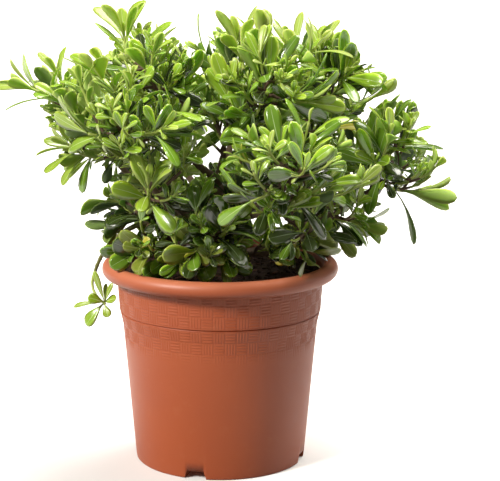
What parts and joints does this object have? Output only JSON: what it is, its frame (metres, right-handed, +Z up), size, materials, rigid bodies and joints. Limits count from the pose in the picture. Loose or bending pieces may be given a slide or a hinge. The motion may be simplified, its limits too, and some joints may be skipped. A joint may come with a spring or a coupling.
{
  "type": "potted pittosporum shrub",
  "caption": "Bushy dwarf pittosporum with glossy evergreen leaves in whorls, growing in a round plastic nursery pot with a rolled rim.",
  "frame": {"origin": "centre of the pot's flat underside", "axes": "+Z up along the pot's axis, -Y towards the front of the picture, +X to its right"},
  "size_m": [0.4831, 0.4692, 0.4958],
  "materials": {
    "pot": "satin terracotta-coloured moulded plastic",
    "compost": "damp dark peaty compost",
    "bark": "rough grey-brown bark",
    "leaves": "glossy leathery leaves, bright green at the tips and dark green inside"
  },
  "bodies": {
    "root": {"bough_low_1": "bark", "bough_low_2": "bark", "bough_low_3": "bark", "bough_low_4": "bark", "bough_low_5": "bark", "bough_low_6": "bark", "bough_middle_1": "bark", "bough_middle_2": "bark", "bough_middle_3": "bark", "bough_middle_4": "bark", "bough_middle_5": "bark", "bough_middle_6": "bark", "bough_sprig": "bark", "bough_upper_1": "bark", "bough_upper_2": "bark", "bough_upper_3": "bark", "bough_upper_4": "bark", "bough_upper_5": "bark", "compost": "compost", "foliage_low_1": "leaves", "foliage_low_2": "leaves", "foliage_low_3": "leaves", "foliage_low_4": "leaves", "foliage_low_5": "leaves", "foliage_low_6": "leaves", "foliage_middle_1": "leaves", "foliage_middle_2": "leaves", "foliage_middle_3": "leaves", "foliage_middle_4": "leaves", "foliage_middle_5": "leaves", "foliage_middle_6": "leaves", "foliage_sprig": "leaves", "foliage_top": "leaves", "foliage_upper_1": "leaves", "foliage_upper_2": "leaves", "foliage_upper_3": "leaves", "foliage_upper_4": "leaves", "foliage_upper_5": "leaves", "pot": "pot", "trunk": "bark"}
  },
  "joints": []
}
